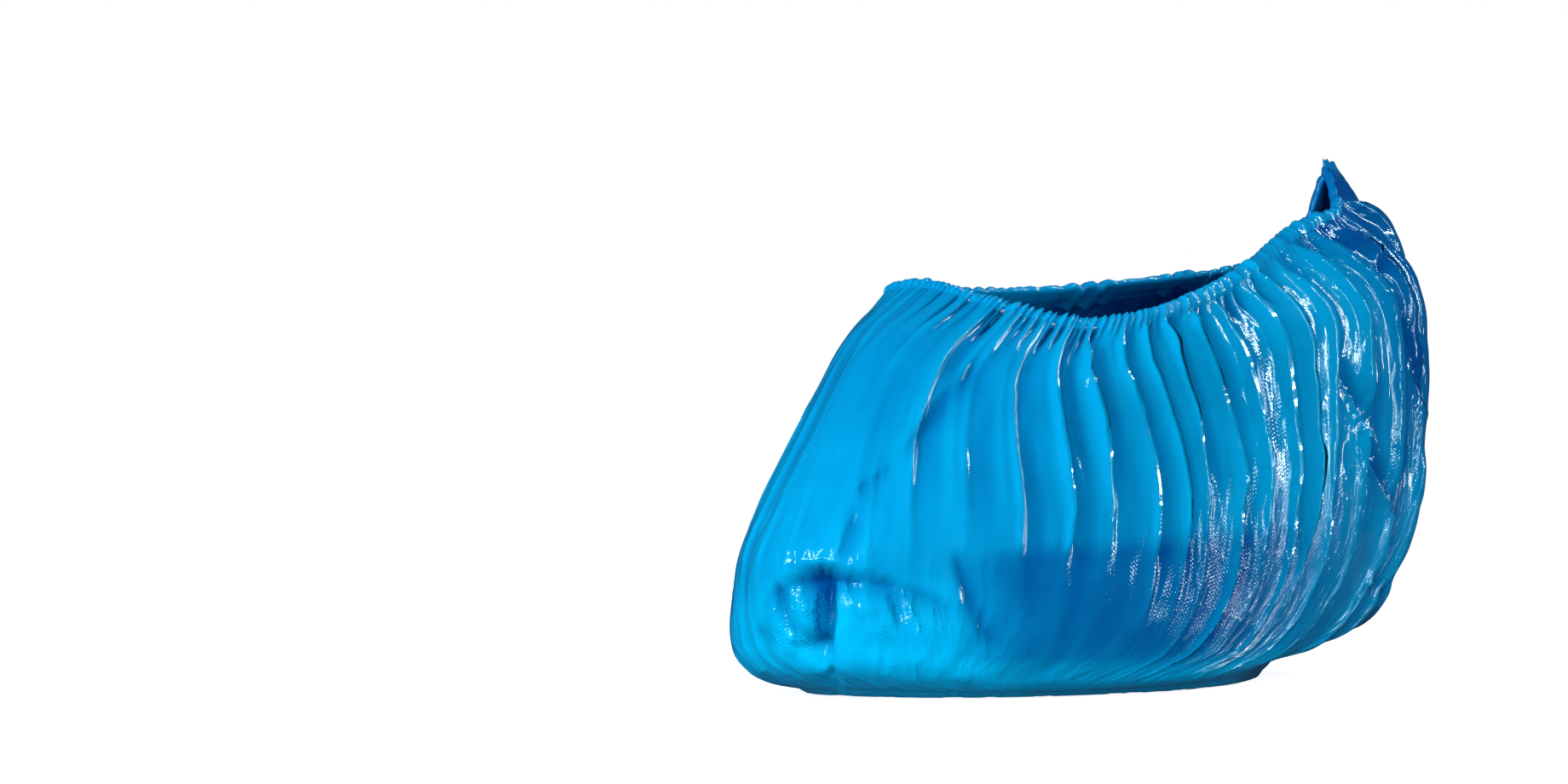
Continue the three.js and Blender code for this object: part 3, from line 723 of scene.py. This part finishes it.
# The film's tone holds painted light and shade. Painted light makes it palest over the toe and
# lighter at the waist, under the sole edge and low on the heel; painted shade makes it darker along
# the outer side, where it hangs clear of the shoe's sole, at the heel, under the heel, in the
# hem's pinches and in the single creases.
PLAIN_TONE = 0.41
facing = np.cos(film_angle)
toeward = (1 + facing) / 2
heelward = smooth(0.4, 0.15, toeward)
pinch_painted_shadow = hem_pinch(film_place, film_level) * (1 - puff(film_place)[0])
sole_gap_painted_shade = smooth(3.5, 3.2, film_level) * smooth(0.45, 0.7, np.sin(film_angle))
PAINTED_LIGHT_AND_SHADE = {
    # how much painted light makes it lighter or painted shade darker, and where
    "vamp": (0.03, smooth(0.4, 0.9, toeward)),
    "toe, top": (0.14, smooth(0.85, 0.98, toeward) * smooth(5.4, 3.9, film_level)),
    "toe, foot": (0.22, smooth(0.85, 0.95, toeward) * smooth(3.2, 2.4, film_level)),
    "heel": (-0.5, heelward),
    "heel, lower part": (0.54, heelward * smooth(5.0, 2.8, film_level)),
    "waist": (0.08, bump(toeward - 0.55, 0.35) * smooth(3.4, 3.8, film_level)),
    "under the sole edge": (0.55, smooth(2.3, 1.3, film_level) * smooth(-0.5, 0.0, facing)),
    "under the heel": (-0.35, smooth(2.6, 1.8, film_level) * smooth(-0.5, -0.8, facing)),
    "pinches at the hem": (-0.9, pinch_painted_shadow * smooth(6.2, 6.8, film_level)),
    "clear of the shoe's sole": (-0.29, sole_gap_painted_shade * smooth(-0.2, 0.2, facing)),
    "single creases": (-0.085, crease_drop(shoe + MIDDLE, film_out)),
}
tone = PLAIN_TONE + painted_fold_shade + sum(amount * where for amount, where in PAINTED_LIGHT_AND_SHADE.values())
tone = np.clip(tone, 0, 1)

# The film is crumpled most on the crests, where it turns under the sole and in patches at the
# toe and the heel. The emboss shows best where it turns and at the toe.
patchy = smooth(-0.1, 0.5, round_noise(film_place, film_level, 0.35, 2.0, 24))
turning = bump(film_level - 3.0, 1.3) * smooth(0.5, 0.3, facing)
crinkle = 0.16 + 0.85 * np.exp(-(beside_crest / 0.2) ** 2) * unquiet
crinkle = crinkle + (0.5 + 1.8 * patchy) * smooth(0.86, 0.95, toeward) * smooth(3.7, 3.1, film_level)
crinkle = crinkle + 0.55 * turning + (0.12 + 0.55 * patchy) * smooth(0.1, -0.5, facing)
stamp = 0.4 * patchy * smooth(0.9, 0.97, toeward) * smooth(3.4, 3.0, film_level)
stamp = stamp + 0.1 + 0.36 * turning

half = len(film) // 2
WALLS = {"film_outer_wall": np.arange(0, half + 1), "film_inner_wall": np.arange(half, len(film) + 1)}
for name, own in WALLS.items():
    own = own % len(film)
    values = {"tone": tone[own], "crinkle": crinkle[own], "stamp": stamp[own]}
    wall = wall_piece(name, film[own], film_normal[own], FILM_THICK, values)
    lay_out(wall, flat_u[own], flat_v[own], round_step.sum() * MM)
    wall.data.materials.append(film_blue)
    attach(wall, "root")
    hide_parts("film_body")

# ---------------------------------------------------------------------------------------------
# Hem. The film's edge is turned over an elastic and welded down as a narrow channel, which the
# elastic draws into fine ruffles. At the heel the channel ends short of the bag's corner.
HEM = {"flat": 14.5, "leg": 5.5, "rise": 4.4, "round": 1.0, "thick": 0.15, "scallop": 1.0,
       "bulge": 0.8, "outer_room": 0.3, "inner_room": 0.7, "deep": 1.3, "slimmer": 0.55}
SMOOTH_OVER = 24

edge = film[:, -1]
edge_out = film_out[:, -1]
edge_up = unit(shoe[:, -1] - shoe[:, -2])
edge_down = unit(film[:, -1] - film[:, -4])
round_top, gathered = puff(film_columns)
slim = 1 - HEM["slimmer"] * bump(film_columns - PUFF["corner"], 12)
stand = np.einsum("ik,ik->i", edge - shoe[:, -1], edge_out)
near = np.concatenate([stand[-SMOOTH_OVER:], stand, stand[:SMOOTH_OVER]])
even = np.convolve(near, np.ones(2 * SMOOTH_OVER + 1) / (2 * SMOOTH_OVER + 1), "valid")


def hem_point(along, outward):
    """A point beside the film's edge: along from the edge upwards, and outward from the shoe."""
    way = (edge_up * max(along, 0) + edge_down * min(along, 0)) * slim[:, None]
    return edge + way + edge_out * (outward - stand)[:, None]


def hem_outline():
    """Along and outward of the channel's line: up the outside, over and down the inside. Its
    lower end is tucked into the film, and its walls keep clear of the elastic."""
    outer = np.maximum(stand, even - HEM["outer_room"]) + 0.05
    inner = np.minimum(stand, even - HEM["inner_room"]) - HEM["deep"]
    straight = HEM["rise"] - HEM["round"]
    places = [(-1.0, stand - 0.08), (-0.4, stand - 0.02), (0.1, stand + 0.02)]
    for t in (0.25, 0.5, 0.75):
        places.append((straight * t, outer + HEM["bulge"] * round_top * sin(pi * t)))
    places.append((straight, outer))
    for turn in np.linspace(0, pi, 9)[1:-1]:
        share = (1 - cos(turn)) / 2
        places.append((straight + HEM["round"] * sin(turn), outer * (1 - share) + inner * share))
    places += [(straight * t, inner) for t in (1.0, 0.6, 0.2)]
    for t in np.linspace(0, 1, 6):
        leaning = min(1, 2 * t)
        places.append((-HEM["leg"] * t, inner * (1 - leaning) + (stand - 1.5) * leaning))
    return places


hem_line = []
for along, outward in hem_outline():
    puffed = (round_top - PUFF["level_top"]) * gathered
    lift = HEM["scallop"] * puffed * max(0.0, along / HEM["rise"])
    hem_line.append(hem_point(along, outward) + edge_up * lift[:, None])
hem_net = np.stack(hem_line, 1)
hem_normal = net_normals(hem_net)


def closed_ring(name, points, normals, thick, values):
    """A wall of film that closes round the foot."""
    rounds, rows = points.shape[:2]
    again = np.arange(rounds + 1) % rounds
    number = np.arange(rounds * rows).reshape(rounds, rows)[again]
    outside = points.reshape(-1, 3)
    inside = (points - normals * thick).reshape(-1, 3)
    mesh = double_wall(name, outside, inside, number, (number[:, 0], number[::-1, -1]), values)
    return set_down(name, mesh)


# The hem's flat film, in metres, between two columns and between two rows.
HEM_COLUMN, HEM_ROW = 0.0049, 0.0009
HEM_SEE_THROUGH = 0.1
# The hem's tone is painted light on the puffs' tops and painted shade in the pinches between them and
# at the bag's corner.
hem_painted_light_and_shade = 0.4 + 0.35 * (round_top - PUFF["level_top"]) * gathered
hem_painted_light_and_shade = hem_painted_light_and_shade - 0.3 * bump(film_columns - PUFF["corner"], 14)
hem_painted_light_and_shade = np.repeat(np.clip(hem_painted_light_and_shade, 0, 1)[:, None], hem_net.shape[1], 1)
hem_values = {"tone": hem_painted_light_and_shade, "crinkle": np.full_like(hem_painted_light_and_shade, 0.3),
              "stamp": np.full_like(hem_painted_light_and_shade, 0.2)}
hem = closed_ring("hem_channel", hem_net, hem_normal, HEM["thick"], hem_values)
hem_u = np.repeat(film_columns[:, None] * HEM_COLUMN, hem_net.shape[1], 1)
hem_v = np.repeat(np.arange(hem_net.shape[1])[None, :] * HEM_ROW, len(hem_net), 0)
lay_out(hem, hem_u, hem_v, COLUMNS * HEM_COLUMN)
hem.data.materials.append(film_material("hem_blue", FILM_LIGHT, FILM_DEEP, HEM_SEE_THROUGH))
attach(hem, "root")
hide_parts("hem_casing")

# ---------------------------------------------------------------------------------------------
# Elastic. A flat band of thin white rubber runs loose in the hem's channel, all the way round,
# with its ends joined. It is stretched when the overshoe is on and pulls the film's edge in.
ELASTIC = {"foot": 0.4, "wide": 2.8, "thick": 0.7, "inset": 0.6, "every": 4}
low_edge, high_edge = ELASTIC["foot"], ELASTIC["foot"] + ELASTIC["wide"]
face, back = even - ELASTIC["inset"], even - ELASTIC["inset"] - ELASTIC["thick"]
elastic_net = np.stack([hem_point(low_edge, face), hem_point(high_edge, face),
                        hem_point(high_edge, back), hem_point(low_edge, back)], 1)
elastic_net = elastic_net[::ELASTIC["every"]]


def band_piece(name, net):
    """A ring with a square section, whose corners are the net's lines."""
    rounds, rows = net.shape[:2]
    here = np.arange(rounds * rows).reshape(rounds, rows)
    there = np.roll(here, -1, 0)
    faces = []
    for k in range(rows):
        m = (k + 1) % rows
        faces.append(np.stack([here[:, k], there[:, k], there[:, m], here[:, m]], 1))
    mesh = bpy.data.meshes.new(name)
    mesh.from_pydata((net.reshape(-1, 3) * MM).tolist(), [], np.concatenate(faces).tolist())
    return set_down(name, mesh)


def elastic_material():
    """Dull white rubber with a fine grain."""
    material = bpy.data.materials.new("elastic_white")
    material.use_nodes = True
    nodes, links = material.node_tree.nodes, material.node_tree.links
    shell = nodes["Principled BSDF"]
    place = nodes.new("ShaderNodeTexCoord")
    grain = nodes.new("ShaderNodeTexNoise")
    grain.inputs["Scale"].default_value = 900.0
    ramp = nodes.new("ShaderNodeValToRGB")
    ramp.color_ramp.elements[0].color = linear(196, 206, 214)
    ramp.color_ramp.elements[1].color = linear(228, 234, 238)
    links.new(place.outputs["Object"], grain.inputs["Vector"])
    links.new(grain.outputs["Fac"], ramp.inputs[0])
    links.new(ramp.outputs[0], shell.inputs["Base Color"])
    shell.inputs["Roughness"].default_value = 0.75
    return material


elastic = band_piece("elastic_ring", elastic_net)
elastic.data.materials.append(elastic_material())
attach(elastic, "root")
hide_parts("elastic_band")

# ---------------------------------------------------------------------------------------------
# End welds. The bag's two ends are closed by a hot bar, which leaves a thin fin of fused film.
# The toe's lies in the tucked corner, and the heel's runs up the back into the pointed corner.
WELD = {"thick": 0.5, "taper": 0.6, "off": 0.1, "tone": 0.4}
WELD_LIGHT, WELD_DEEP, WELD_SEE_THROUGH = linear(0, 150, 212), linear(0, 90, 160), 0.2
weld_blue = film_material("weld_blue", WELD_LIGHT, WELD_DEEP, WELD_SEE_THROUGH)


def fin_piece(name, line, outs, deep):
    """A thin fin along a line of the film: outs point away from it, deep is how far it reaches."""
    feet = line + outs * WELD["off"]
    across = unit(np.cross(np.gradient(feet, axis=0), outs)) * WELD["thick"] / 2
    left, right = [], []
    for t in np.linspace(0, 1, 4):
        top = outs * (deep * t)[:, None]
        half_thick = across * (1 - WELD["taper"] * t)
        left.append(feet - half_thick + top)
        right.insert(0, feet + half_thick + top)
    ring = np.stack(left + right, 1)
    rounds, rows = ring.shape[:2]
    number = np.arange(rounds * rows).reshape(rounds, rows)
    faces = []
    for k in range(rows):
        m = (k + 1) % rows
        faces.append(np.stack([number[:-1, k], number[:-1, m], number[1:, m], number[1:, k]], 1))
    faces = np.concatenate(faces).tolist() + [number[0, ::-1].tolist(), number[-1].tolist()]
    mesh = bpy.data.meshes.new(name)
    mesh.from_pydata((ring.reshape(-1, 3) * MM).tolist(), [], faces)
    mesh.polygons.foreach_set("use_smooth", np.ones(len(faces), bool))
    tones = mesh.attributes.new("tone", "FLOAT", "POINT")
    tones.data.foreach_set("value", np.full(rounds * rows, WELD["tone"]))
    mesh.uv_layers.new(name="flat_film")
    piece = set_down(name, mesh)
    piece.data.materials.append(weld_blue)
    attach(piece, "root")
    return piece


TOE_WELD = {"from": 1.9, "to": 3.0, "deep": 0.8}
toe_rows = (film_levels > TOE_WELD["from"]) & (film_levels < TOE_WELD["to"])
toe_columns = np.interp(film_levels[toe_rows], [1.5, 3.0], [0.5, 2.6])
toe_columns = np.round(toe_columns * COLUMN_STEPS).astype(int)
toe_line, toe_out = film[toe_columns, toe_rows], film_out[toe_columns, toe_rows]
toe_fin = fin_piece("toe_end_weld", toe_line, toe_out, np.full(len(toe_line), TOE_WELD["deep"]))
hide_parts("toe_weld")

HEEL_WELD = {"from": 1.4, "deep": 3.0, "wave": 0.8, "waves_per_level": 16}
heel_rows = film_levels > HEEL_WELD["from"]
heel_place = COLUMNS * COLUMN_STEPS // 2
heel_line, heel_out = film[heel_place, heel_rows], film_out[heel_place, heel_rows]
heel_waves = noise(film_levels[heel_rows] * HEEL_WELD["waves_per_level"], 0.0, seed=21)
heel_deep = HEEL_WELD["deep"] + HEEL_WELD["wave"] * heel_waves
heel_fin = fin_piece("heel_end_weld", heel_line, heel_out, heel_deep)
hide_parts("heel_weld")

# ---------------------------------------------------------------------------------------------
# Studio. The overshoe stands on a wide white floor in a white room. Large soft lamps fill it in
# and stay out of the gloss, and narrow ones make the bright lines on the film.
FLOOR_DROP, FLOOR_HALF = 0.0002, 6.0
FLOOR_PAINT, FLOOR_GLOW = linear(170, 172, 174), 0.88
floor_mesh = bpy.data.meshes.new("floor")
floor_corners = [(-FLOOR_HALF, -FLOOR_HALF, -FLOOR_DROP), (FLOOR_HALF, -FLOOR_HALF, -FLOOR_DROP),
                 (FLOOR_HALF, FLOOR_HALF, -FLOOR_DROP), (-FLOOR_HALF, FLOOR_HALF, -FLOOR_DROP)]
floor_mesh.from_pydata(floor_corners, [], [(0, 1, 2, 3)])
floor = bpy.data.objects.new("floor", floor_mesh)
bpy.context.scene.collection.objects.link(floor)
floor_paint = bpy.data.materials.new("floor_white")
floor_paint.use_nodes = True
paint = floor_paint.node_tree.nodes["Principled BSDF"]
paint.inputs["Base Color"].default_value = FLOOR_PAINT
paint.inputs["Roughness"].default_value = 0.9
paint.inputs["Emission Color"].default_value = (1, 1, 1, 1)
paint.inputs["Emission Strength"].default_value = FLOOR_GLOW
floor.visible_glossy = False
floor.visible_diffuse = False
floor_mesh.materials.append(floor_paint)

LAMPS = [
    # name, place, aimed at, width, height, watts, seen in the gloss
    ("front fill", (0.1, -1.4, 1.1), (0.0, -0.05, 0.05), 0.9, 0.9, 6.3, False),
    ("low fill", (-0.35, -1.4, 0.15), (0.0, -0.1, 0.02), 0.8, 0.3, 6.0, False),
    ("side fill", (1.2, -0.7, 0.7), (0.0, 0.0, 0.06), 0.9, 0.9, 10.0, False),
    ("fold strip", (0.87, 1.03, 0.72), (0.0, 0.05, 0.06), 0.045, 1.4, 12.0, True),
    ("low card", (1.0, 0.78, 0.2), (0.0, 0.05, 0.06), 0.1, 0.2, 0.8, True),
    ("back fill", (-1.1, 1.1, 0.9), (0.0, 0.05, 0.06), 1.0, 1.0, 14.0, False),
    ("toe card", (-0.12, -1.35, 0.1), (0.0, -0.1, 0.03), 0.3, 0.1, 4.0, True),
    ("toe strip", (-0.35, -1.35, 0.5), (0.0, -0.05, 0.05), 0.1, 1.0, 8.0, True),
    ("floor bounce", (0.5, -0.9, 0.04), (0.0, 0.0, 0.03), 1.3, 0.06, 4.0, False),
    ("top", (0.2, 0.1, 1.5), (0.0, 0.0, 0.05), 0.4, 0.4, 3.0, False),
]
for name, place, aim, width, height, power, in_gloss in LAMPS:
    lamp = bpy.data.lights.new(name, "AREA")
    lamp.shape = "RECTANGLE"
    lamp.size = width
    lamp.size_y = height
    lamp.energy = power
    light = bpy.data.objects.new(name, lamp)
    light.location = place
    light.rotation_euler = (Vector(aim) - Vector(place)).to_track_quat("-Z", "Y").to_euler()
    light.visible_glossy = in_gloss
    bpy.context.scene.collection.objects.link(light)

# The room is white to the camera, dimmer as a light and nearly dark in the gloss.
ROOM_LIGHT = {"seen": 1.0, "as_light": 0.35, "less_in_gloss": 0.33}
world = bpy.data.worlds.new("studio")
world.use_nodes = True
nodes, links = world.node_tree.nodes, world.node_tree.links
room = nodes["Background"]
room.inputs["Color"].default_value = (1, 1, 1, 1)
ray = nodes.new("ShaderNodeLightPath")
seen = nodes.new("ShaderNodeMapRange")
seen.inputs["To Min"].default_value = ROOM_LIGHT["as_light"]
seen.inputs["To Max"].default_value = ROOM_LIGHT["seen"]
mirrored = nodes.new("ShaderNodeMath")
mirrored.operation = "MULTIPLY_ADD"
mirrored.inputs[1].default_value = -ROOM_LIGHT["less_in_gloss"]
links.new(ray.outputs["Is Camera Ray"], seen.inputs["Value"])
links.new(ray.outputs["Is Glossy Ray"], mirrored.inputs[0])
links.new(seen.outputs[0], mirrored.inputs[2])
links.new(mirrored.outputs[0], room.inputs["Strength"])
bpy.context.scene.world = world
bpy.context.scene.view_settings.view_transform = "Standard"
